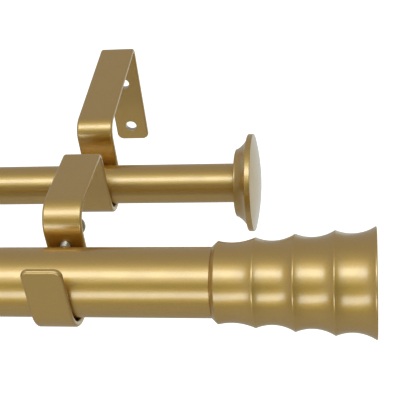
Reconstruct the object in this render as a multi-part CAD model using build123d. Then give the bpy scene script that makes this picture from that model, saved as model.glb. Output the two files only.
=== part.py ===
# Double curtain pole: a thick front pole and a slim rear pole carried by two folded strip brackets.
# +X runs along the poles to the right-hand end, +Y points into the wall and +Z is up.
# The origin lies on the wall plane, midway between the brackets and between the two screw holes of each.
# All sizes are in millimetres.
import math
import os

from build123d import *

# Poles: thin steel tubes of one length, the thick one in front
pole_length = 711.0
front_radius = 12.7
rear_radius = 7.94
front_wall = 1.0
rear_wall = 0.8
front_projection = 135.2  # wall plane to the axis of the front pole
rear_projection = 69.5
front_height = 12.5  # axis of the front pole above the middle of the screw holes
rear_height = 5.8

# Brackets: one flat steel strip each, folded seven times
bracket_inset = 65.0  # end of the poles to the middle of the strip
strip_width = 15.0
strip_thickness = 2.2
strip_edge_round = 1.0
plate_bottom = -19.5
rear_arm_top_at_wall = 30.5
rear_arm_top_at_cradle = 29.1
front_arm_top_at_back = 30.3
front_arm_top_at_cradle = 33.4
lip_top = 32.0
tight_bend = 1.0  # inner radius where an arm turns down at its back end
rear_arm_bend = 4.9  # inner radius where an arm turns down into its cradle
front_arm_bend = 7.7
middle_wall_lean = 1.4  # how far the wall between the cradles comes forward on its way up
cradle_gap = 0.5  # between the rear pole and the walls of its cradle
clamp_gap = 1.1  # behind the front pole, where the clamp screw holds it off the wall of its cradle
lip_gap = 0.8  # between the front pole and the lip
seat_gap = 0.1  # between a pole and the floor of its cradle
cradle_flat = 3.1  # flat part of a cradle's floor
cradle_skew = 0.06  # how much wider its back bend is, and tighter its front bend, than their mean
end_corner_radius = 3.0

# Screw holes in the plate that lies on the wall
wall_hole_radius = 2.55
wall_hole_spacing = 23.6

# Clamp screws: round heads, through the back wall of the front cradle
screw_radius = 1.95
screw_length = 12.8
screw_fit = 0.05
screw_tip_radius = 1.2
screw_tip_chamfer = 0.7
screw_tip_gap = 0.1
head_radius = 5.2
head_height = 3.2
head_edge_height = 0.9
recess_span = 4.6
recess_width = 1.3
recess_depth = 1.8
screw_rise = 5.55  # axis of the screw above the axis of the pole

# Finials: flared cups with sharp rings and scalloped stretches between them
finial_overlap = 8.6  # length of the pole that the finial hides
finial_fit = 0.1
finial_lead = 1.8  # length of the bevelled mouth
finial_mouth_edge = 0.3
first_ring_step = 2.1  # height of the first ring above the pole
ring_flare = 1.22  # each ring stands this much further out than the one before
first_pitch = 13.3
ring_pitch = 13.93
scallop_count = 4
first_scallop_depth = 1.1
scallop_depth = 1.75
finial_blind_radius = 11.0  # the hole goes on narrower behind the core
finial_end_wall = 5.0
finial_end_lip = 0.5
finial_end_round = 0.4

# Cores: moulded plugs that hold the finials on the front pole
core_fit = 0.15
core_grip = 18.0  # length inside the tube
core_drum = 16.0  # length inside the finial, behind the pole
core_wall = 1.6
core_flutes = 8
core_flute_width = 3.0
core_flute_depth = 0.9

# End caps of the rear pole: a neck that flares to the back of a thick domed disc
cap_overlap = 6.9
cap_fit = 0.06
cap_neck_radius = 13.8
cap_neck_round = 0.5
cap_neck_length = 0.6
cap_flare_length = 4.4
cap_flare_radius = 18.6
cap_flare_sag = 0.5
cap_rim_radius = 19.76
cap_rim_width = 2.0
cap_rim_round = 0.4
cap_dome_rise = 2.7
cap_floor = 2.0  # from the end of the tube to the bottom of the cap's boss hole
boss_radius = 3.5
boss_fit = 0.05

# Plugs: moulded pegs that hold the end caps on the rear pole
plug_fit = 0.15
plug_grip = 14.0
plug_flutes = 6
plug_flute_width = 2.0
plug_flute_depth = 0.7
plug_bore_radius = 1.6

bracket_x = pole_length / 2 - bracket_inset
right_end = pole_length / 2


def pole_axis(which):
    """Y and Z of the axis of the front or the rear pole."""
    return {"front": (-front_projection, front_height), "rear": (-rear_projection, rear_height)}[which]


def on_axis(shape, which, x):
    """Carry a shape that was turned about X at the origin to a place on a pole's axis."""
    y, z = pole_axis(which)
    return Pos(x, y, z) * shape


def turned(outline):
    """Solid of revolution about X from a closed outline of (x, radius) edges."""
    face = make_face(Plane.XY * outline)
    return revolve(face, Axis.X, 360)


def dome_radius(edge_radius, rise):
    """Radius of the sphere that a dome of this edge and rise is cut from."""
    return (edge_radius ** 2 + rise ** 2) / (2 * rise)


def tube(radius, wall):
    """Plain tube along X, centred on the origin."""
    section = Circle(radius) - Circle(radius - wall)
    return extrude(Plane.YZ * section, pole_length / 2, both=True)


def cradle_walls(which):
    """Middle of the strip in the back wall and in the front wall of a cradle."""
    axis_y = pole_axis(which)[0]
    half = strip_thickness / 2
    if which == "rear":
        radius, back_gap, front_gap = rear_radius, cradle_gap, cradle_gap
    else:
        radius, back_gap, front_gap = front_radius, clamp_gap, lip_gap
    return axis_y + radius + back_gap + half, axis_y - radius - front_gap - half


def strip_path():
    """Middle line of the strip in the YZ plane, from the foot of the plate to the top of the lip."""
    half = strip_thickness / 2
    rear_back, rear_front = cradle_walls("rear")
    front_back, front_front = cradle_walls("front")
    rear_floor = rear_height - rear_radius - seat_gap - half
    front_floor = front_height - front_radius - seat_gap - half
    corners = [
        (-half, plate_bottom),
        (-half, rear_arm_top_at_wall - half),
        (rear_back, rear_arm_top_at_cradle - half),
        (rear_back, rear_floor),
        (rear_front, rear_floor),
        (rear_front - middle_wall_lean, front_arm_top_at_back - half),
        (front_back, front_arm_top_at_cradle - half),
        (front_back, front_floor),
        (front_front, front_floor),
        (front_front, lip_top),
    ]
    rear_curve = (rear_back - rear_front - cradle_flat) / 2
    front_curve = (front_back - front_front - cradle_flat) / 2
    radii = [tight_bend + half, rear_arm_bend + half]
    radii += [rear_curve * (1 + cradle_skew), rear_curve * (1 - cradle_skew)]
    radii += [tight_bend + half, front_arm_bend + half]
    radii += [front_curve * (1 + cradle_skew), front_curve * (1 - cradle_skew)]
    return FilletPolyline(*[(0, y, z) for y, z in corners], radius=radii)


def end_trim(y, z, up):
    """What is cut away to round the two corners of a strip end, whose edge is at height z."""
    reach = strip_thickness * 2
    middle = z - end_corner_radius * up
    size = (strip_width + 2, reach, end_corner_radius + 1)
    block = Box(*size, align=(Align.CENTER, Align.CENTER, Align.MIN))
    block = Pos(0, y, middle if up > 0 else middle - end_corner_radius - 1) * block
    rounded = Plane.XZ * RectangleRounded(strip_width, end_corner_radius * 4, end_corner_radius)
    keep = Pos(0, y, z - end_corner_radius * 2 * up) * extrude(rounded, reach, both=True)
    return block - keep


def along_y(radius, length):
    """Plain cylinder along Y, centred on the origin."""
    return extrude(Plane.XZ * Circle(radius), length / 2, both=True)


def screw_place():
    """Y and Z of the clamp screw's tip, which all but touches the upper back of the front pole."""
    lowest = screw_rise - screw_tip_radius
    touch = math.sqrt((front_radius + screw_tip_gap) ** 2 - lowest ** 2)
    return touch - front_projection, front_height + screw_rise


def bracket():
    """Folded strip with its wall holes and its clamp screw hole, centred on X."""
    section = Plane.XY * RectangleRounded(strip_width, strip_thickness, strip_edge_round)
    path = strip_path()
    body = sweep(Pos(0, path.position_at(0).Y, plate_bottom) * section, path=path)
    half = strip_thickness / 2
    back_y, lip_y = cradle_walls("front")
    body -= end_trim(-half, plate_bottom, -1)
    body -= end_trim(lip_y, lip_top, 1)
    for side in (-1, 1):
        body -= Pos(0, -half, side * wall_hole_spacing / 2) * along_y(wall_hole_radius, strip_thickness * 2)
    body -= Pos(0, back_y, screw_place()[1]) * along_y(screw_radius + screw_fit, strip_thickness * 2)
    return body


def clamp_screw():
    """Round-headed screw along Y with the tip at the origin and the head towards +Y."""
    edge = (screw_length + head_edge_height, head_radius)
    crown = (screw_length + head_height, 0)
    outline = Polyline(
        (0, 0),
        (0, screw_tip_radius),
        (screw_tip_chamfer, screw_radius),
        (screw_length, screw_radius),
        (screw_length, head_radius),
        edge,
    )
    outline += RadiusArc(edge, crown, dome_radius(head_radius, head_height - head_edge_height))
    outline += Line(crown, (0, 0))
    body = turned(outline)
    for turn in (0, 90):
        slot = Box(recess_depth, recess_span, recess_width, align=(Align.MAX, Align.CENTER, Align.CENTER))
        body -= Pos(screw_length + head_height, 0, 0) * Rot(turn, 0, 0) * slot
    return Rot(0, 0, 90) * body


def ring_line():
    """X and radius of every ring of the finial, from the pole outwards, x = 0 at the finial's mouth."""
    points = []
    x = finial_lead
    for index in range(scallop_count + 1):
        points.append((x, front_radius + first_ring_step + index * ring_flare))
        x += first_pitch if index == 0 else ring_pitch
    return points


def finial():
    """Flared cup, mouth at x = 0, with a socket for the pole and its core and a blind hole behind."""
    rings = ring_line()
    socket = front_radius + finial_fit
    last_x, last_r = rings[-1]
    end_x = last_x + finial_end_lip
    round_start = (end_x - finial_end_round, last_r)
    round_end = (end_x, last_r - finial_end_round)
    outline = Polyline((0, 0), (0, socket + finial_mouth_edge), rings[0])
    for index in range(scallop_count):
        depth = first_scallop_depth if index == 0 else scallop_depth
        outline += SagittaArc(rings[index], rings[index + 1], -depth)
    outline += Line(rings[-1], round_start)
    outline += RadiusArc(round_start, round_end, finial_end_round)
    outline += Polyline(round_end, (end_x, 0), (0, 0))
    body = turned(outline)
    body -= extrude(Plane.YZ * Circle(socket), finial_overlap + seat_gap + core_drum + seat_gap)
    body -= extrude(Plane.YZ * Circle(finial_blind_radius), end_x - finial_end_wall)
    return body


def fluted(radius, length, flutes, width, depth):
    """Bar along X from the origin, with grooves so that it can be pressed into a tube."""
    section = Circle(radius)
    for index in range(flutes):
        section -= Rot(0, 0, index * 360 / flutes) * Pos(radius, 0) * Rectangle(depth * 2, width)
    return extrude(Plane.YZ * section, length)


def finial_core():
    """Plug with its shoulder at x = 0: its drum fills the finial's socket and its spigot the tube."""
    bore = front_radius - front_wall - core_fit
    drum = extrude(Plane.YZ * Circle(front_radius), core_drum)
    spigot = fluted(bore, core_grip, core_flutes, core_flute_width, core_flute_depth)
    spigot = Pos(-core_grip, 0, 0) * spigot
    hollow = Pos(core_wall, 0, 0) * extrude(Plane.YZ * Circle(front_radius - core_wall), core_drum)
    relief = extrude(Plane.YZ * Circle(bore - core_flute_depth - core_wall), core_grip)
    return drum + spigot - hollow - Pos(-core_grip - core_wall, 0, 0) * relief


def end_cap():
    """Neck, flare and domed disc, back face at x = 0."""
    disc_back = cap_neck_length + cap_flare_length
    disc_front = disc_back + cap_rim_width
    face_radius = cap_rim_radius - cap_rim_round
    mouth = (0, cap_neck_radius - cap_neck_round)
    neck = (cap_neck_round, cap_neck_radius)
    flare_start = (cap_neck_length, cap_neck_radius)
    flare_end = (disc_back, cap_flare_radius)
    back_edge = (disc_back, face_radius)
    rim_back = (disc_back + cap_rim_round, cap_rim_radius)
    rim_front = (disc_front - cap_rim_round, cap_rim_radius)
    face_edge = (disc_front, face_radius)
    peak = (disc_front + cap_dome_rise, 0)
    outline = Line((0, 0), mouth) + RadiusArc(mouth, neck, cap_neck_round)
    outline += Line(neck, flare_start) + SagittaArc(flare_start, flare_end, -cap_flare_sag)
    outline += Line(flare_end, back_edge) + RadiusArc(back_edge, rim_back, cap_rim_round)
    outline += Line(rim_back, rim_front) + RadiusArc(rim_front, face_edge, cap_rim_round)
    outline += RadiusArc(face_edge, peak, dome_radius(face_radius, cap_dome_rise)) + Line(peak, (0, 0))
    body = turned(outline)
    body -= extrude(Plane.YZ * Circle(rear_radius + cap_fit), cap_overlap)
    body -= extrude(Plane.YZ * Circle(boss_radius + boss_fit), cap_overlap + cap_floor)
    return body


def cap_plug():
    """Peg whose shoulder at x = 0 lies at the end of the rear tube, with a boss for the cap."""
    bore = rear_radius - rear_wall - plug_fit
    peg = Pos(-plug_grip, 0, 0) * fluted(bore, plug_grip, plug_flutes, plug_flute_width, plug_flute_depth)
    boss = extrude(Plane.YZ * Circle(boss_radius), cap_floor - seat_gap)
    hollow = Pos(-plug_grip, 0, 0) * extrude(Plane.YZ * Circle(plug_bore_radius), plug_grip - cap_floor)
    return peg + boss - hollow


def build():
    """Every piece in its place, by name."""
    pieces = {
        "front_pole": on_axis(tube(front_radius, front_wall), "front", 0),
        "rear_pole": on_axis(tube(rear_radius, rear_wall), "rear", 0),
    }
    right = {
        "bracket": Pos(bracket_x, 0, 0) * bracket(),
        "clamp_screw": Pos(bracket_x, *screw_place()) * clamp_screw(),
        "finial": on_axis(finial(), "front", right_end - finial_overlap),
        "finial_core": on_axis(finial_core(), "front", right_end + seat_gap),
        "end_cap": on_axis(end_cap(), "rear", right_end - cap_overlap + seat_gap),
        "end_cap_plug": on_axis(cap_plug(), "rear", right_end),
    }
    for name, shape in right.items():
        pieces[name + "_right"] = shape
        pieces[name + "_left"] = mirror(shape, Plane.YZ)
    return pieces


os.makedirs("parts", exist_ok=True)
for name, shape in build().items():
    export_step(shape, os.path.join("parts", name + ".step"))
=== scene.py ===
import math

import bpy
import numpy as np
from mathutils import Matrix, Vector


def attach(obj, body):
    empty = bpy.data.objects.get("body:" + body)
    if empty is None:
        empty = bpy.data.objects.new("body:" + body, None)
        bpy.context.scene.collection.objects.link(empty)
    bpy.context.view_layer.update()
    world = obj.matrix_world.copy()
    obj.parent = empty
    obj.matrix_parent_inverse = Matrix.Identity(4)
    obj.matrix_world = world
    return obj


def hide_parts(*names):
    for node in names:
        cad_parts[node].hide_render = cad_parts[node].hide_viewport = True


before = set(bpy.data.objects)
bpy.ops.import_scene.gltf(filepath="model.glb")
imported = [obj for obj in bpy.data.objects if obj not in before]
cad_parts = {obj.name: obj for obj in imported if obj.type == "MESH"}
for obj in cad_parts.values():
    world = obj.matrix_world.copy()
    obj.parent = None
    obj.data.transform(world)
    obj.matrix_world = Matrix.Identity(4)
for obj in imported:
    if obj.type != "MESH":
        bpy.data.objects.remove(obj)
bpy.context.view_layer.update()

mm = 0.001
tiny = 1e-6           # mm; points nearer than this are one point
sides = {"Right": 1, "Left": -1}
print("frame loaded,", len(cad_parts), "solids")


# Small helpers

def toLinear(hexColour):
    # sRGB hex to linear RGBA: c / 12.92 below 0.04045, else ((c + 0.055) / 1.055) ^ 2.4
    c = np.array([int(hexColour[i:i + 2], 16) for i in (1, 3, 5)]) / 255
    lin = np.where(c <= 0.04045, c / 12.92, ((c + 0.055) / 1.055) ** 2.4)
    return (*lin.tolist(), 1.0)


def addNode(tree, kind, sockets=None, **settings):
    # one node with its settings; sockets, by name or number, get an output as a link and else a value
    node = tree.nodes.new(kind)
    for key, value in settings.items():
        setattr(node, key, value)
    for key, value in (sockets or {}).items():
        if isinstance(value, bpy.types.NodeSocket):
            tree.links.new(value, node.inputs[key])
        else:
            node.inputs[key].default_value = value
    return node


def newMaterial(name):
    material = bpy.data.materials.new(name)
    material.use_nodes = True
    material.node_tree.nodes.clear()
    return material, material.node_tree


def gridFaces(rows, columns, wrapRows=False, wrapColumns=False):
    # quads of a grid whose vertices are numbered row by row: (i, j), (i, j + 1), (i + 1, j + 1), (i + 1, j)
    i = np.arange(rows if wrapRows else rows - 1)[:, None]
    j = np.arange(columns if wrapColumns else columns - 1)[None, :]
    nextI, nextJ = (i + 1) % rows, (j + 1) % columns
    corners = (i * columns + j, i * columns + nextJ, nextI * columns + nextJ, nextI * columns + j)
    return np.stack(np.broadcast_arrays(*corners), -1).reshape(-1, 4)


def makePiece(name, points, faces, material, node, flip=False, inner=None):
    # points in mm (n, 3), faces as a list of index arrays of one width each;
    # inner is a second material with the numbers of the faces that wear it
    mesh = bpy.data.meshes.new(name)
    polygons = [face for group in faces for face in (group[:, ::-1] if flip else group).tolist()]
    mesh.from_pydata((np.asarray(points) * mm).tolist(), [], polygons)
    mesh.update()
    mesh.shade_smooth()
    mesh.materials.append(material)
    if inner:
        mesh.materials.append(inner[0])
        worn = np.zeros(len(mesh.polygons), dtype=np.int32)
        worn[inner[1]] = 1
        mesh.polygons.foreach_set("material_index", worn)
    piece = bpy.data.objects.new(name, mesh)
    bpy.context.scene.collection.objects.link(piece)
    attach(piece, "root")
    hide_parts(node)


# Profiles and turned pieces

def bowed(start, end, sag, count):
    # circular arc between two points that leaves the chord by sag on its left:
    # radius (c^2/4 + s^2) / 2s, swept between the two ends about the centre
    start, end = np.asarray(start, float), np.asarray(end, float)
    chord = end - start
    length = np.hypot(*chord)
    left = np.array([-chord[1], chord[0]]) / length
    radius = (length ** 2 / 4 + sag ** 2) / (2 * abs(sag))
    way = math.copysign(1, sag)
    centre = (start + end) / 2 + left * (sag - way * radius)
    half = math.asin(min(1, length / 2 / radius))
    turn = np.linspace(-half, half, count)[:, None]
    return centre + way * radius * left * np.cos(turn) + radius * chord / length * np.sin(turn)


def rounded(corners, radii, step=9):
    # polyline with each corner replaced by an arc that starts r tan(turn / 2) before the corner;
    # its points are centre + (sin((1 - k) turn) first + sin(k turn) last) / sin(turn), k from 0 to 1,
    # at most step degrees apart
    corners = np.asarray(corners, float)
    parts = [corners[:1]]
    for before, corner, after, radius in zip(corners[:-2], corners[1:-1], corners[2:], radii):
        a = (before - corner) / np.hypot(*(before - corner))
        b = (after - corner) / np.hypot(*(after - corner))
        if radius <= 0 or abs(a[0] * b[1] - a[1] * b[0]) < tiny:
            parts.append(corner[None])   # nothing to round here
            continue
        inside = math.acos(np.clip(a @ b, -1, 1))
        bisector = (a + b) / np.hypot(*(a + b))
        centre = corner + bisector * radius / math.sin(inside / 2)
        cut = radius / math.tan(inside / 2)
        first, last = corner + a * cut - centre, corner + b * cut - centre
        turn = math.pi - inside
        k = np.linspace(0, 1, max(2, math.ceil(math.degrees(turn) / step)) + 1)[:, None]
        parts.append(centre + (np.sin((1 - k) * turn) * first + np.sin(k * turn) * last) / math.sin(turn))
    return np.concatenate(parts + [corners[-1:]])


def joined(*parts):
    # one line out of several, without the points they share
    line = np.concatenate(parts)
    keep = np.r_[True, np.hypot(*np.diff(line, axis=0).T) > tiny]
    return line[keep]


def turnedSurface(profile, axisPlace, around):
    # profile (x, r) carried round the X axis through axisPlace:
    # (x, y0 - r cos a, z0 + r sin a); ends on the axis close to a single point,
    # and a profile that comes back to its start closes to a ring
    closed = np.hypot(*(profile[0] - profile[-1])) < tiny
    line = profile[:-1] if closed else profile
    poles = [end for end in (0, -1) if not closed and line[end, 1] < tiny]
    body = line[(1 if 0 in poles else 0):(len(line) - 1 if -1 in poles else len(line))]
    angle = np.arange(around) * 2 * math.pi / around
    x = np.broadcast_to(body[:, :1], (len(body), around))
    y = axisPlace[0] - body[:, 1:] * np.cos(angle)
    z = axisPlace[1] + body[:, 1:] * np.sin(angle)
    points = np.stack([x, y, z], -1).reshape(-1, 3)
    faces = [gridFaces(len(body), around, wrapRows=closed, wrapColumns=True)]
    for end in poles:
        tip = len(points)
        points = np.vstack([points, [line[end, 0], *axisPlace]])
        ring = np.arange(around) + (0 if end == 0 else (len(body) - 1) * around)
        after = np.roll(ring, -1)
        faces.append(np.stack([np.full(around, tip), after, ring] if end == 0
                              else [np.full(around, tip), ring, after], -1))
    return points, faces


def mirrored(points, side):
    # (side x, y, z): side 1 is the right-hand end, -1 the left-hand one
    return points * np.array([side, 1, 1])


# Materials

mixFirst, mixSecond, mixResult = 6, 7, 2   # the Mix node's sockets for colours
noiseLow, noiseHigh = 0.3, 0.7             # nearly all of a noise lies between these

goldLook = {
    "lacquer": "#CFA544",         # the metal's own colour
    "lacquerDeep": "#C99F3F",     # where the sprayed coat lies a little thicker
    "roughness": 0.45,
    "roughnessSpread": 0.025,
    "patchMm": 9.0,               # size of the thicker and thinner places
    "peelMm": 1.6,                # wavelength of the orange peel
    "peelHeightMm": 0.0022,
    "flakeMm": 0.35,              # real flakes are 0.03 mm; drawn coarser so that they show
    "flakeLift": 0.05,            # how much lighter or darker a flake is
    "clearCoat": 1.0,
    "clearRoughness": 0.22,
    "clearIor": 2.05,             # of the clear coat, matched to the pale core of the highlights
}


def sprayedGold(look):
    # Champagne gold metallic lacquer, sprayed on steel and cleared: soft wide highlights
    # with a paler core, a faint orange peel and a fine sparkle of flakes
    material, tree = newMaterial("sprayed champagne gold lacquer")
    place = addNode(tree, "ShaderNodeTexCoord").outputs["Object"]
    patches = addNode(tree, "ShaderNodeTexNoise", {
        "Vector": place, "Scale": 1 / (look["patchMm"] * mm), "Detail": 2.0}).outputs["Fac"]
    flakes = addNode(tree, "ShaderNodeTexNoise", {
        "Vector": place, "Scale": 1 / (look["flakeMm"] * mm), "Detail": 1.0}).outputs["Fac"]
    peel = addNode(tree, "ShaderNodeTexNoise", {
        "Vector": place, "Scale": 1 / (look["peelMm"] * mm), "Detail": 1.0}).outputs["Fac"]
    shade = addNode(tree, "ShaderNodeMix", {
        "Factor": patches, mixFirst: toLinear(look["lacquer"]), mixSecond: toLinear(look["lacquerDeep"])},
        data_type="RGBA").outputs[mixResult]
    sparkle = addNode(tree, "ShaderNodeMapRange", {
        "Value": flakes, "From Min": noiseLow, "From Max": noiseHigh,
        "To Min": 1 - look["flakeLift"], "To Max": 1 + look["flakeLift"]}).outputs["Result"]
    colour = addNode(tree, "ShaderNodeVectorMath", {0: shade, "Scale": sparkle}, operation="SCALE")
    rough = addNode(tree, "ShaderNodeMapRange", {
        "Value": patches, "From Min": noiseLow, "From Max": noiseHigh,
        "To Min": look["roughness"] - look["roughnessSpread"],
        "To Max": look["roughness"] + look["roughnessSpread"]})
    bump = addNode(tree, "ShaderNodeBump", {
        "Height": peel, "Strength": 1.0, "Distance": look["peelHeightMm"] * mm})
    shader = addNode(tree, "ShaderNodeBsdfPrincipled", {
        "Base Color": colour.outputs["Vector"], "Metallic": 1.0, "Roughness": rough.outputs["Result"],
        "Normal": bump.outputs["Normal"], "Coat Weight": look["clearCoat"],
        "Coat Roughness": look["clearRoughness"], "Coat IOR": look["clearIor"]})
    addNode(tree, "ShaderNodeOutputMaterial", {"Surface": shader.outputs["BSDF"]})
    return material


zincLook = {
    "zinc": "#D6D1C3",
    "zincDull": "#B9B3A3",
    "roughness": 0.28,
    "roughnessSpread": 0.06,
    "blotchMm": 1.4,
    "markMm": 0.12,               # spacing of the tool marks
    "markStretch": (1, 0.15, 1),  # they run along the screw
    "markHeightMm": 0.002,
}


def platedZinc(look):
    # Bright zinc plating on cold-headed steel: grey-white, with dull blotches and fine tool marks
    material, tree = newMaterial("bright zinc plated steel")
    place = addNode(tree, "ShaderNodeTexCoord").outputs["Object"]
    blotches = addNode(tree, "ShaderNodeTexNoise", {
        "Vector": place, "Scale": 1 / (look["blotchMm"] * mm), "Detail": 3.0}).outputs["Fac"]
    stretch = addNode(tree, "ShaderNodeMapping", {
        "Vector": place, "Scale": look["markStretch"]}).outputs["Vector"]
    marks = addNode(tree, "ShaderNodeTexNoise", {
        "Vector": stretch, "Scale": 1 / (look["markMm"] * mm), "Detail": 1.0}).outputs["Fac"]
    shade = addNode(tree, "ShaderNodeMix", {
        "Factor": blotches, mixFirst: toLinear(look["zinc"]), mixSecond: toLinear(look["zincDull"])},
        data_type="RGBA").outputs[mixResult]
    rough = addNode(tree, "ShaderNodeMapRange", {
        "Value": blotches, "From Min": noiseLow, "From Max": noiseHigh,
        "To Min": look["roughness"] - look["roughnessSpread"],
        "To Max": look["roughness"] + look["roughnessSpread"]})
    bump = addNode(tree, "ShaderNodeBump", {
        "Height": marks, "Strength": 1.0, "Distance": look["markHeightMm"] * mm})
    shader = addNode(tree, "ShaderNodeBsdfPrincipled", {
        "Base Color": shade, "Metallic": 1.0, "Roughness": rough.outputs["Result"],
        "Normal": bump.outputs["Normal"]})
    addNode(tree, "ShaderNodeOutputMaterial", {"Surface": shader.outputs["BSDF"]})
    return material


plasticLook = {
    "plastic": "#E2DED2",
    "plasticShade": "#D6D1C3",
    "roughness": 0.48,
    "cloudMm": 6.0,
    "grainMm": 0.6,
    "grainHeightMm": 0.01,
}


def mouldedPlastic(look):
    # Polypropylene, injection moulded with a spark-eroded skin: off-white and waxy, with a fine grain
    material, tree = newMaterial("moulded off-white polypropylene")
    place = addNode(tree, "ShaderNodeTexCoord").outputs["Object"]
    clouds = addNode(tree, "ShaderNodeTexNoise", {
        "Vector": place, "Scale": 1 / (look["cloudMm"] * mm), "Detail": 2.0}).outputs["Fac"]
    grain = addNode(tree, "ShaderNodeTexNoise", {
        "Vector": place, "Scale": 1 / (look["grainMm"] * mm), "Detail": 2.0}).outputs["Fac"]
    shade = addNode(tree, "ShaderNodeMix", {
        "Factor": clouds, mixFirst: toLinear(look["plastic"]), mixSecond: toLinear(look["plasticShade"])},
        data_type="RGBA").outputs[mixResult]
    bump = addNode(tree, "ShaderNodeBump", {
        "Height": grain, "Strength": 1.0, "Distance": look["grainHeightMm"] * mm})
    shader = addNode(tree, "ShaderNodeBsdfPrincipled", {
        "Base Color": shade, "Roughness": look["roughness"], "Normal": bump.outputs["Normal"]})
    addNode(tree, "ShaderNodeOutputMaterial", {"Surface": shader.outputs["BSDF"]})
    return material


gold = sprayedGold(goldLook)
zinc = platedZinc(zincLook)
plastic = mouldedPlastic(plasticLook)
print("materials made")


# Poles

poleLook = {
    "length": 711.0,
    "front": {"radius": 12.7, "wall": 1.0, "place": (-135.2, 12.5)},   # place is the axis in y and z
    "rear": {"radius": 7.94, "wall": 0.8, "place": (-69.5, 5.8)},
    "endRound": 0.2,   # broken edge of the sawn tube end
    "around": 128,
}


def poleProfile(length, radius, wall, edge):
    # the wall's outline: outside, left end, inside, right end, every corner broken
    half = length / 2
    bore = radius - wall
    box = [(0, radius), (half, radius), (half, bore), (-half, bore), (-half, radius), (0, radius)]
    return rounded(box, [edge] * 4, step=30)[::-1]


for which in ("front", "rear"):
    look = poleLook[which]
    profile = poleProfile(poleLook["length"], look["radius"], look["wall"], poleLook["endRound"])
    points, faces = turnedSurface(profile, look["place"], poleLook["around"])
    makePiece(which + "Pole", points, faces, gold, which + "_pole")
print("poles made")


# Finials

finialLook = {
    "overlap": 8.6,              # how much of the pole it hides
    "socket": 12.8,              # radius
    "socketDepth": 24.8,
    "blindRadius": 11.0,         # the hole goes on narrower behind the socket
    "mouthEdge": 0.3,
    "rings": 5,
    "firstRingAt": 1.8,
    "firstRing": 14.8,           # radius
    "ringFlare": 1.22,           # each ring is this much larger than the one before
    "firstPitch": 13.3,
    "pitch": 13.93,
    "firstSag": 1.1,             # depth of the scallops
    "sag": 1.75,
    "crestRound": 0.25,
    "endLip": 0.5,
    "endRound": 0.4,
    "endWall": 5.0,
    "innerRounds": (0.4, 0.3, 0.2, 0.1),   # corners of the inside, from the blind end to the mouth
    "around": 160,
    "scallopSteps": 28,
}


def finialRings(look):
    # ring i has its crest at x = firstRingAt + firstPitch + (i - 1) pitch and r = firstRing + ringFlare i
    index = np.arange(look["rings"])
    x = look["firstRingAt"] + np.where(index > 0, look["firstPitch"] + (index - 1) * look["pitch"], 0)
    return np.stack([x, look["firstRing"] + look["ringFlare"] * index], -1)


def softCrests(line, sharp, radius, count=5):
    # each sharp point gives way to a small quadratic bend between points radius away on both sides:
    # (1 - k)^2 a + 2 k (1 - k) p + k^2 b
    parts, last = [], 0
    k = np.linspace(0, 1, count)[:, None]
    for index in sharp:
        p, before, after = line[index], line[index - 1], line[index + 1]
        a = p + (before - p) / np.hypot(*(before - p)) * radius
        b = p + (after - p) / np.hypot(*(after - p)) * radius
        parts += [line[last:index], (1 - k) ** 2 * a + 2 * k * (1 - k) * p + k ** 2 * b]
        last = index + 1
    return np.concatenate(parts + [line[last:]])


def finialProfile(look):
    # bevelled mouth, a ring, then a hollow scallop up to every next ring, the end lip and the
    # plain end; the inside runs from the blind hole's end through the socket to the mouth
    rings = finialRings(look)
    endX = rings[-1, 0] + look["endLip"]
    mouth = (0, look["socket"] + look["mouthEdge"])
    outside = [np.array([mouth, rings[0]])]
    sharp = []   # numbers of the crests in the joined line
    for index in range(look["rings"] - 1):
        sharp.append(sum(len(part) for part in outside) - 1 - index)
        sag = look["firstSag"] if index == 0 else look["sag"]
        outside.append(bowed(rings[index], rings[index + 1], -sag, look["scallopSteps"]))
    skin = softCrests(joined(*outside), sharp, look["crestRound"])
    end = rounded([rings[-1], (endX, rings[-1, 1]), (endX, 0)], [look["endRound"]], step=15)
    blindEnd = endX - look["endWall"]
    back = [(blindEnd, 0), (blindEnd, look["blindRadius"]), (look["socketDepth"], look["blindRadius"]),
            (look["socketDepth"], look["socket"]), (0, look["socket"]), mouth]
    inside = rounded(back, look["innerRounds"], step=30)
    return joined(skin, end), inside


def closedCup(outside, inside, place, around):
    # an outer skin that ends on the axis and an inner one that starts there, sharing the mouth
    return turnedSurface(joined(inside, outside)[::-1], place, around)


poleEnd = poleLook["length"] / 2
outside, inside = finialProfile(finialLook)
points, faces = closedCup(outside, inside, poleLook["front"]["place"], finialLook["around"])
points = points + np.array([poleEnd - finialLook["overlap"], 0, 0])
for name, side in sides.items():
    makePiece("finial" + name, mirrored(points, side), faces, gold, "finial_" + name.lower(),
              flip=side < 0)
print("finials made")


# End caps of the rear pole

capLook = {
    "overlap": 6.8,               # tube inside the cap
    "bore": 8.0,                  # radius
    "boreDepth": 6.9,
    "bossHole": 3.55,             # radius of the hole for the plug's boss
    "bossDepth": 8.9,
    "neckRadius": 13.8,
    "neckRound": 0.5,
    "neckLength": 0.6,
    "flareLength": 4.4,
    "flareRadius": 18.6,
    "flareSag": 0.5,
    "rimRadius": 19.76,
    "rimWidth": 2.35,
    "rimRound": 0.4,
    "domeRise": 2.35,
    "around": 160,
    "flareSteps": 24,
    "domeSteps": 40,
}


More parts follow.
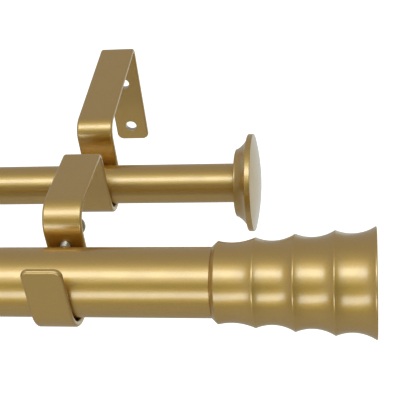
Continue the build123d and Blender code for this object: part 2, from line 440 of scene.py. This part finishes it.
def capProfile(look):
    # neck with a rounded mouth, hollow flare to the disc's back, rounded rim, spherical face of
    # radius (f^2 + h^2) / 2h over its own radius f and rise h
    back = look["neckLength"] + look["flareLength"]
    front = back + look["rimWidth"]
    face = look["rimRadius"] - look["rimRound"]
    neckEnd, flareEnd = (look["neckLength"], look["neckRadius"]), (back, look["flareRadius"])
    neck = rounded([(0, look["bore"]), (0, look["neckRadius"]), neckEnd], [look["neckRound"]], step=12)
    flare = bowed(neckEnd, flareEnd, -look["flareSag"], look["flareSteps"])
    nearlyAll = 0.999   # the front round stops just short of the dome's first point
    rim = rounded([flareEnd, (back, look["rimRadius"]), (front, look["rimRadius"]), (front, face)],
                  [look["rimRound"], look["rimRound"] * nearlyAll], step=15)
    radius = (face ** 2 + look["domeRise"] ** 2) / (2 * look["domeRise"])
    turn = np.linspace(math.asin(face / radius), 0, look["domeSteps"])
    dome = np.stack([front + look["domeRise"] - radius * (1 - np.cos(turn)), radius * np.sin(turn)], -1)
    inside = np.array([(look["bossDepth"], 0), (look["bossDepth"], look["bossHole"]),
                       (look["boreDepth"], look["bossHole"]), (look["boreDepth"], look["bore"]),
                       (0, look["bore"])])
    return joined(neck, flare, rim, dome), inside


outside, inside = capProfile(capLook)
points, faces = closedCup(outside, inside, poleLook["rear"]["place"], capLook["around"])
points = points + np.array([poleEnd - capLook["overlap"], 0, 0])
for name, side in sides.items():
    makePiece("endCap" + name, mirrored(points, side), faces, gold, "end_cap_" + name.lower(),
              flip=side < 0)
print("end caps made")


# Brackets

bracketLook = {
    "x": 290.5,
    "width": 15.0,
    "thickness": 2.2,
    "edgeRound": 1.0,
    "endCorner": 3.0,
    "plateBottom": -19.5,
    "rearArmTop": (30.5, 29.1),     # heights at the wall and at the rear cradle
    "frontArmTop": (30.3, 33.4),    # heights over the rear cradle and at the front one
    "lipTop": 32.0,
    "tightBend": 1.0,               # inner radii of the bends
    "rearBend": 4.9,
    "frontBend": 7.7,
    "middleLean": 1.4,              # lean of the rear cradle's front wall, outwards
    "cradleGap": 0.5,               # room round the rear pole
    "clampGap": 1.1,                # room on the screw's side of the front pole
    "lipGap": 0.8,                  # and on the lip's side
    "seatGap": 0.1,
    "cradleFlat": 3.1,              # level floor between a cradle's two bends
    "cradleSkew": 0.06,             # back bend wider, front bend tighter
    "wallHole": 2.55,               # radius
    "wallHoleAt": (-11.8, 11.8),    # heights
    "screwHole": 2.0,               # radius
    "screwAt": 18.05,               # height of the clamp screw
    "holeEdge": 0.12,
    "holeSquare": 3.5,              # half side of the square that each hole's mesh fills
    "holeSteps": 12,                # grid steps on that side
    "holeBlend": (1, 0.6, 0.25, 0), # rings from the square, 1, to the circle, 0
    "holeBevel": (30, 60, 90),      # degrees round the hole's edge
    "bendStep": 3,                  # degrees between two rows in a bend
    "stepMm": 2.5,                  # widest row elsewhere
    "cornerSteps": 8,               # rows in a rounded end
    "sideSteps": 3,                 # columns beside the holes' squares
    "sideStripMm": 0.2,             # and a narrow one at the edge
    "edgeSteps": 6,                 # steps in each quarter of the rolled edge
    "endRoomMm": 0.3,               # no row of the bends this near the ends
    "holeRoomMm": 0.05,             # nor this near a hole's square
}


def stripLine(look):
    # the strip's middle line in the YZ plane: straight runs and arcs, from the plate's foot to
    # the lip's top; also gives the y of the front cradle's back wall
    half = look["thickness"] / 2
    rear, front = poleLook["rear"], poleLook["front"]
    rearBack = rear["place"][0] + rear["radius"] + look["cradleGap"] + half
    rearFront = rear["place"][0] - rear["radius"] - look["cradleGap"] - half
    frontBack = front["place"][0] + front["radius"] + look["clampGap"] + half
    frontFront = front["place"][0] - front["radius"] - look["lipGap"] - half
    rearFloor = rear["place"][1] - rear["radius"] - look["seatGap"] - half
    frontFloor = front["place"][1] - front["radius"] - look["seatGap"] - half
    corners = [
        (-half, look["plateBottom"]),
        (-half, look["rearArmTop"][0] - half),
        (rearBack, look["rearArmTop"][1] - half),
        (rearBack, rearFloor),
        (rearFront, rearFloor),
        (rearFront - look["middleLean"], look["frontArmTop"][0] - half),
        (frontBack, look["frontArmTop"][1] - half),
        (frontBack, frontFloor),
        (frontFront, frontFloor),
        (frontFront, look["lipTop"]),
    ]
    wide, tight = 1 + look["cradleSkew"], 1 - look["cradleSkew"]
    rearCurve = (rearBack - rearFront - look["cradleFlat"]) / 2
    frontCurve = (frontBack - frontFront - look["cradleFlat"]) / 2
    radii = [look["tightBend"] + half, look["rearBend"] + half, rearCurve * wide, rearCurve * tight,
             look["tightBend"] + half, look["frontBend"] + half, frontCurve * wide, frontCurve * tight]
    return rounded(corners, radii, look["bendStep"]), frontBack


def lengthAt(line, along, place, near=0.02):
    # distance along the line where it passes height place[1] on its upright run at y = place[0]
    index = np.flatnonzero(np.abs(line[:, 0] - place[0]) < near)
    order = index[np.argsort(line[index, 1])]
    return float(np.interp(place[1], line[order, 1], along[order]))


def stripMap(line, along):
    # (s, t, n) -> (t, line(s) + n N(s)), N being the line's direction turned a quarter to the left
    step = np.diff(line, axis=0)
    step /= np.hypot(*step.T)[:, None]
    lead = np.vstack([step[:1], step[:-1] + step[1:], step[-1:]])
    lead /= np.hypot(*lead.T)[:, None]

    def place(s, t, n):
        s, t, n = np.broadcast_arrays(s, t, n)
        y, z, ny, nz = (np.interp(s, along, column) for column in (*line.T, -lead[:, 1], lead[:, 0]))
        return np.stack([t, y + n * ny, z + n * nz], -1).reshape(-1, 3)

    return place


def stripRows(look, along, holes, low, top, nearest=1e-3):
    # the rows' distances s: the bends' own points, low + c (1 - cos a) in the rounded ends,
    # an even run over each hole's square, and more where two lie further apart than stepMm
    square = look["holeSquare"]
    quarter = np.linspace(0, math.pi / 2, look["cornerSteps"] + 1)
    arc = (look["endCorner"] - look["edgeRound"]) * (1 - np.cos(quarter))
    squares = np.concatenate([np.linspace(at - square, at + square, look["holeSteps"] + 1)
                              for at, radius in holes])
    bends = along[(along > low + look["endRoomMm"]) & (along < top - look["endRoomMm"])]
    free = np.r_[bends, low + arc, top - arc]
    free = free[np.all([np.abs(free - at) > square + look["holeRoomMm"] for at, radius in holes], axis=0)]
    stops = np.sort(np.r_[free, squares])
    stops = stops[np.r_[True, np.diff(stops) > nearest]]
    runs = [np.linspace(a, b, max(1, math.ceil((b - a) / look["stepMm"])) + 1)[:-1]
            for a, b in zip(stops[:-1], stops[1:])]
    return np.concatenate(runs + [stops[-1:]])


def holeRings(look, radius):
    # rings of (t, s) round the hole and their n: k square + (1 - k) circle on one face, the edge
    # R + e (1 - sin b) at n = h - e (1 - cos b), then the same backwards on the other face
    high, steps, rim = look["thickness"] / 2, look["holeSteps"], look["holeEdge"]
    side = np.linspace(-1, 1, steps + 1)[:-1]
    one = np.ones(steps)
    outline = np.concatenate([np.stack(pair, -1) for pair in (
        (side, -one), (one, side), (-side, one), (-one, -side))])
    turn = np.arange(4 * steps) * 2 * math.pi / (4 * steps) - 3 * math.pi / 4
    circle = np.stack([np.cos(turn), np.sin(turn)], -1)
    blend = np.array(look["holeBlend"])[:, None, None]
    bevel = np.radians(look["holeBevel"])
    flat = blend * outline * look["holeSquare"] + (1 - blend) * circle * (radius + rim)
    ring = np.concatenate([flat, circle * (radius + rim * (1 - np.sin(bevel)))[:, None, None]])
    n = np.r_[np.full(len(blend), high), high - rim * (1 - np.cos(bevel))]
    return np.concatenate([ring, ring[::-1]]), np.r_[n, -n[::-1]]


def stripSurface(look):
    # Both faces are grids of (s, t) at n = +-thickness / 2 with a square of cells left out round each hole.
    # The edge band carries their outline outwards by R sin a while n goes R cos a, a from 0 to pi.
    # Each hole is a grid of (ring, angle): square to circle on one face, through the wall, circle to square.
    # Also gives the numbers of the faces inside the holes.
    line, screwWall = stripLine(look)
    along = np.r_[0, np.cumsum(np.hypot(*np.diff(line, axis=0).T))]
    place = stripMap(line, along)
    high, edge, square = look["thickness"] / 2, look["edgeRound"], look["holeSquare"]
    steps, corner = look["holeSteps"], look["endCorner"] - edge
    low, top, half = edge, along[-1] - edge, look["width"] / 2 - edge   # where the flat faces end
    holes = [(lengthAt(line, along, (-high, z)), look["wallHole"]) for z in look["wallHoleAt"]]
    holes.append((lengthAt(line, along, (screwWall, look["screwAt"])), look["screwHole"]))

    s = stripRows(look, along, holes, low, top)
    margin = np.r_[np.linspace(square, half - look["sideStripMm"], look["sideSteps"] + 1)[1:], half]
    t = np.r_[-margin[::-1], np.linspace(-square, square, steps + 1), margin]
    depth = np.clip(corner - np.minimum(s - low, top - s), 0, corner)
    width = (half - corner + np.sqrt(np.maximum(corner ** 2 - depth ** 2, 0))) / half
    across = width[:, None] * t[None, :]

    quads = gridFaces(len(s), len(t))
    midS, midT = s[quads // len(t)].mean(1), t[quads % len(t)].mean(1)
    inHole = np.any([(np.abs(midS - at) < square) & (np.abs(midT) < square) for at, radius in holes], axis=0)
    kept = quads[~inHole]
    points = [place(s[:, None], across, high), place(s[:, None], across, -high)]
    faces = [kept, kept[:, ::-1] + len(s) * len(t)]

    rows, columns = np.arange(len(s)), np.arange(len(t))
    loop = np.concatenate([columns, rows[1:] * len(t) + len(t) - 1,
                           columns[:-1][::-1] + (len(s) - 1) * len(t), rows[1:-1][::-1] * len(t)])
    rimS, rimT = s[loop // len(t)], across.reshape(-1)[loop]
    outS = rimS - np.clip(rimS, low + corner, top - corner)
    outT = rimT - np.clip(rimT, -half + corner, half - corner)
    size = np.hypot(outS, outT)
    quarter = look["edgeSteps"] + 1
    angle = np.r_[np.linspace(0, math.pi / 2, quarter), np.linspace(math.pi / 2, math.pi, quarter)][:, None]
    rise = np.repeat([high - edge, edge - high], quarter)[:, None] + edge * np.cos(angle)
    band = place(rimS + edge * np.sin(angle) * outS / size, rimT + edge * np.sin(angle) * outT / size, rise)
    faces.append(gridFaces(2 * quarter, len(loop), wrapColumns=True)[:, ::-1] + 2 * len(s) * len(t))
    points.append(band)

    walls = []
    wallRow = len(look["holeBlend"]) + len(look["holeBevel"]) - 1   # the row of faces between the two rims
    for at, radius in holes:
        ring, n = holeRings(look, radius)
        through = np.arange(wallRow * 4 * steps, (wallRow + 1) * 4 * steps)
        walls.append(through + sum(len(group) for group in faces))
        faces.append(gridFaces(len(n), 4 * steps, wrapColumns=True) + sum(len(part) for part in points))
        points.append(place(at + ring[..., 1], ring[..., 0], n[:, None]))
    return np.concatenate(points), faces, np.concatenate(walls)


def weld(points, faces, nearest=1e-4):
    # points at one place become one, and points of no face go
    key = np.round(points / nearest).astype(np.int64)
    first, back = np.unique(key, axis=0, return_index=True, return_inverse=True)[1:]
    faces = [back.reshape(-1)[group] for group in faces]
    used = np.unique(np.concatenate([group.reshape(-1) for group in faces]))
    return points[first][used], [np.searchsorted(used, group) for group in faces]


stripPoints, stripFaces, holeWalls = stripSurface(bracketLook)
stripPoints, stripFaces = weld(stripPoints, stripFaces)
for name, side in sides.items():
    points = mirrored(stripPoints + np.array([bracketLook["x"], 0, 0]), side)
    makePiece("bracket" + name, points, stripFaces, gold, "bracket_" + name.lower(),
              flip=side < 0, inner=(zinc, holeWalls))   # the lacquer does not reach into the holes
print("brackets made")


# Clamp screws

screwLook = {
    "tipAt": -123.162,            # y of the tip
    "radius": 1.95,
    "rootRadius": 1.6,
    "pitch": 0.7,
    "length": 12.8,
    "tipMiddle": 0.4,             # radius of the innermost ring on the flat tip
    "tipRadius": 1.2,
    "tipChamfer": 0.7,
    "threadFade": 0.6,            # the thread grows to its depth over this length
    "threadStop": 0.3,            # and stops this far below the head
    "headRadius": 5.2,
    "headEdge": 0.9,
    "headHeight": 3.2,
    "headRound": 0.35,
    "recessSpan": 2.3,            # half length of the cross
    "recessWidth": 0.65,          # half width of its arms
    "recessDepth": 1.8,
    "recessSlope": 0.25,          # width of the slope down from its rim
    "recessTaper": (1.4, 0.6),    # share of the depth: first - second r / span, at most 1
    "around": 72,
    "shankRows": 120,
    "headRows": 60,
}


def screwSurface(look):
    # one surface of (u, a), u from the tip to the crown: radius r(u), distance w(u) from the tip.
    # On the shank r falls by a triangle wave of w / pitch - a / 2 pi, on the head w drops inside the cross
    around, length = look["around"], look["length"]
    flank = look["headRadius"] - look["headRound"]
    underHead = 0.01   # the shank's last row stays this far from the corner
    shank = np.linspace(look["tipChamfer"], length - underHead, look["shankRows"])
    w = np.r_[0, 0, look["tipChamfer"] / 2, shank, length, length]
    r = np.r_[look["tipMiddle"], look["tipRadius"], (look["tipRadius"] + look["radius"]) / 2,
              np.full(len(shank), look["radius"]), look["radius"], flank]
    nearlyAll = 0.9   # of the round, so that it starts just outside the underside's last ring
    headEdge = rounded([(flank, length), (look["headRadius"], length),
                        (look["headRadius"], length + look["headEdge"])],
                       [look["headRound"] * nearlyAll], step=15)
    rise = look["headHeight"] - look["headEdge"]
    sphere = (look["headRadius"] ** 2 + rise ** 2) / (2 * rise)
    crownR = look["headRadius"] * np.linspace(1, 0, look["headRows"])[1:-1]
    crownW = length + look["headHeight"] - sphere + np.sqrt(sphere ** 2 - crownR ** 2)
    w, r = np.r_[w, headEdge[1:, 1], crownW], np.r_[r, headEdge[1:, 0], crownR]
    rows = len(w)
    angle = np.arange(around) * 2 * math.pi / around
    w = np.broadcast_to(w[:, None], (rows, around))
    r = np.broadcast_to(r[:, None], (rows, around))

    fadeFrom = look["tipChamfer"] * 0.4
    onShank = (w >= look["tipChamfer"] / 2) & (w < length - look["threadStop"]) & (r <= look["radius"])
    wave = np.abs(((w / look["pitch"] - angle / (2 * math.pi)) % 1) - 0.5) * 2
    fade = np.clip((w - fadeFrom) / look["threadFade"], 0, 1)
    r = np.where(onShank, r - (look["radius"] - look["rootRadius"]) * wave * fade, r)

    across, up = r * np.cos(angle), r * np.sin(angle)
    inCross = np.minimum(
        np.maximum(np.abs(across) - look["recessWidth"], np.abs(up) - look["recessSpan"]),
        np.maximum(np.abs(up) - look["recessWidth"], np.abs(across) - look["recessSpan"]))
    share = np.clip(look["recessTaper"][0] - r / look["recessSpan"] * look["recessTaper"][1], 0, 1)
    sink = np.clip(-inCross / look["recessSlope"], 0, 1) * look["recessDepth"] * share
    w = np.where(w > length + look["headEdge"], w - sink, w)

    points = np.stack([across, w, up], -1).reshape(-1, 3)
    poles = np.array([[0, 0, 0], [0, length + look["headHeight"] - look["recessDepth"], 0]])
    first = np.arange(around)
    last = first + (rows - 1) * around
    faces = [gridFaces(rows, around, wrapColumns=True)[:, ::-1],
             np.stack([np.full(around, rows * around), first, np.roll(first, -1)], -1),
             np.stack([np.full(around, rows * around + 1), np.roll(last, -1), last], -1)]
    return np.vstack([points, poles]), faces


points, faces = screwSurface(screwLook)
points = points + np.array([bracketLook["x"], screwLook["tipAt"], bracketLook["screwAt"]])
for name, side in sides.items():
    makePiece("clampScrew" + name, mirrored(points, side), faces, zinc, "clamp_screw_" + name.lower(),
              flip=side < 0)
print("clamp screws made")


# Inner plastic pieces keep their solids

for node in ("finial_core_right", "finial_core_left", "end_cap_plug_right", "end_cap_plug_left"):
    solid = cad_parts[node]
    solid.data.materials.clear()
    solid.data.materials.append(plastic)
    solid.data.shade_flat()
print("inner pieces dressed")


# Camera

cameraLook = {
    "place": (400.98, -401.11, 265.74),    # mm
    "azimuth": 11.656, "elevation": 38.439, "roll": -7.888,   # degrees
    "lens": 93.82, "sensor": 36.0,
    "clip": (0.01, 50.0),                  # metres
}


def setCamera(look):
    # it looks against back = (sin a cos e, -cos a cos e, sin e), and the roll turns right and up about that
    azimuth, elevation, roll = (math.radians(look[key]) for key in ("azimuth", "elevation", "roll"))
    back = Vector((math.sin(azimuth) * math.cos(elevation), -math.cos(azimuth) * math.cos(elevation),
                   math.sin(elevation)))
    level = Vector((math.cos(azimuth), math.sin(azimuth), 0))
    over = back.cross(level)
    right = math.cos(roll) * level + math.sin(roll) * over
    up = -math.sin(roll) * level + math.cos(roll) * over
    camera = bpy.data.objects.new("camera", bpy.data.cameras.new("camera"))
    camera.data.lens, camera.data.sensor_width = look["lens"], look["sensor"]
    camera.data.clip_start, camera.data.clip_end = look["clip"]
    matrix = Matrix((right, up, back)).transposed().to_4x4()
    matrix.translation = Vector(look["place"]) * mm
    camera.matrix_world = matrix
    bpy.context.scene.collection.objects.link(camera)
    bpy.context.scene.camera = camera


setCamera(cameraLook)
print("camera set")


# Floor, world and lamps

stageLook = {
    "floorHeight": -0.55, "floorSize": 14.0,     # metres
    "floorColour": "#D1CAB9",
    "floorRoughness": 0.9,
    "floorLift": 0.95,           # added where the camera sees the floor, so that it reads white
    # painted light: the glow below is a brighter, bluish paper behind the object, painted on the floor and
    # seen only in reflections
    "paintedFloorGlow": 0.60,           # added in reflections of the lit paper behind the object
    "paintedGlowColour": "#DCF0FF",
    "glowFrom": -0.05, "glowFull": 0.5,          # metres behind the wall plane
    "glowSide": (0.26, 0.44), "glowLeft": 0.45,  # it is weaker left of the right-hand bracket
    "worldLevel": 0.40,          # soft light from all round
    "worldDim": 0.15,            # the dim room behind the camera
    "dimFrom": 0.5, "dimFull": 0.9,              # cosine to the camera's side
    "worldSeen": 1.0,            # what the camera itself sees
    "target": (0.33, -0.12, 0.01),               # what the lamps point at, in metres
    "lampColour": "#E6F3FF",     # daylight boxes
    "lamps": [
        # name, middle in X, angle above the front horizon, distance, size along X, size across, watts
        ("keyBox", 0.26, 66.7, 1.0, 1.36, 0.34, 4.0),
        ("keyEdge", 0.26, 66.7, 1.02, 1.44, 0.90, 2.6),
        ("frontBox", 0.10, 2.4, 1.0, 1.36, 0.33, 3.6),
        ("frontEdge", 0.10, 2.4, 1.02, 1.44, 0.60, 0.4),
    ],
}
white = (1, 1, 1, 1)


def makeFloor(look):
    # Matt white paper: plain to the lamps, lifted to white for the camera, and in glossy
    # reflections with painted light, a glow that grows with x from glowSide and with y from glowFrom
    material, tree = newMaterial("matt white paper")
    path = addNode(tree, "ShaderNodeLightPath")
    byCamera = path.outputs["Is Camera Ray"]
    place = addNode(tree, "ShaderNodeTexCoord").outputs["Object"]
    parts = addNode(tree, "ShaderNodeSeparateXYZ", {"Vector": place})
    # painted light on the floor: it ramps up behind the object and right of glowSide, and only glossy rays
    # see it
    side = addNode(tree, "ShaderNodeMapRange", {
        "Value": parts.outputs["X"], "From Min": look["glowSide"][0], "From Max": look["glowSide"][1],
        "To Min": look["paintedFloorGlow"] * look["glowLeft"], "To Max": look["paintedFloorGlow"]})
    glow = addNode(tree, "ShaderNodeMapRange", {
        "Value": parts.outputs["Y"], "From Min": look["glowFrom"], "From Max": look["glowFull"],
        "To Max": side.outputs["Result"]})
    reflected = addNode(tree, "ShaderNodeMath", {
        0: path.outputs["Is Glossy Ray"], 1: glow.outputs["Result"]}, operation="MULTIPLY")
    lift = addNode(tree, "ShaderNodeMath", {
        0: byCamera, 1: look["floorLift"], 2: reflected.outputs["Value"]}, operation="MULTIPLY_ADD")
    tint = addNode(tree, "ShaderNodeMix", {
        "Factor": byCamera, mixFirst: toLinear(look["paintedGlowColour"]), mixSecond: white}, data_type="RGBA")
    shader = addNode(tree, "ShaderNodeBsdfPrincipled", {
        "Base Color": toLinear(look["floorColour"]), "Roughness": look["floorRoughness"],
        "Emission Color": tint.outputs[mixResult], "Emission Strength": lift.outputs["Value"]})
    addNode(tree, "ShaderNodeOutputMaterial", {"Surface": shader.outputs["BSDF"]})
    half, height = look["floorSize"] / 2, look["floorHeight"]
    mesh = bpy.data.meshes.new("floor")
    mesh.from_pydata([(-half, -half, height), (half, -half, height), (half, half, height),
                      (-half, half, height)], [], [(0, 1, 2, 3)])
    mesh.materials.append(material)
    floor = bpy.data.objects.new("floor", mesh)
    bpy.context.scene.collection.objects.link(floor)


def makeWorld(look, towardsCamera):
    # level falls from worldLevel to worldDim with the cosine of the direction to the camera's side
    world = bpy.data.worlds.new("studio")
    world.use_nodes = True
    tree = world.node_tree
    tree.nodes.clear()
    seen = addNode(tree, "ShaderNodeLightPath").outputs["Is Camera Ray"]
    way = addNode(tree, "ShaderNodeTexCoord").outputs["Generated"]
    cosine = addNode(tree, "ShaderNodeVectorMath", {0: way, 1: towardsCamera}, operation="DOT_PRODUCT")
    room = addNode(tree, "ShaderNodeMapRange", {
        "Value": cosine.outputs["Value"], "From Min": look["dimFrom"], "From Max": look["dimFull"],
        "To Min": look["worldLevel"], "To Max": look["worldDim"]}, interpolation_type="SMOOTHSTEP")
    level = addNode(tree, "ShaderNodeMapRange", {
        "Value": seen, "To Min": room.outputs["Result"], "To Max": look["worldSeen"]})
    light = addNode(tree, "ShaderNodeBackground", {"Color": white, "Strength": level.outputs["Result"]})
    addNode(tree, "ShaderNodeOutputWorld", {"Surface": light.outputs["Background"]})
    bpy.context.scene.world = world


def makeLamps(look):
    # each box stands its distance off the target's height and depth along (0, -cos a, sin a), facing back
    target = Vector(look["target"])
    for name, middle, angle, distance, along, across, watts in look["lamps"]:
        light = bpy.data.lights.new(name, "AREA")
        light.shape, light.size, light.size_y, light.energy = "RECTANGLE", along, across, watts
        light.color = toLinear(look["lampColour"])[:3]
        lamp = bpy.data.objects.new(name, light)
        a = math.radians(angle)
        away = Vector((0, -math.cos(a), math.sin(a)))
        side = Vector((1, 0, 0))
        matrix = Matrix((side, away.cross(side), away)).transposed().to_4x4()
        matrix.translation = Vector((middle, target.y, target.z)) + away * distance
        lamp.matrix_world = matrix
        bpy.context.scene.collection.objects.link(lamp)


makeFloor(stageLook)
makeWorld(stageLook, bpy.context.scene.camera.matrix_world.to_3x3().col[2])
makeLamps(stageLook)
bpy.context.scene.view_settings.view_transform = "Standard"
print("stage set")
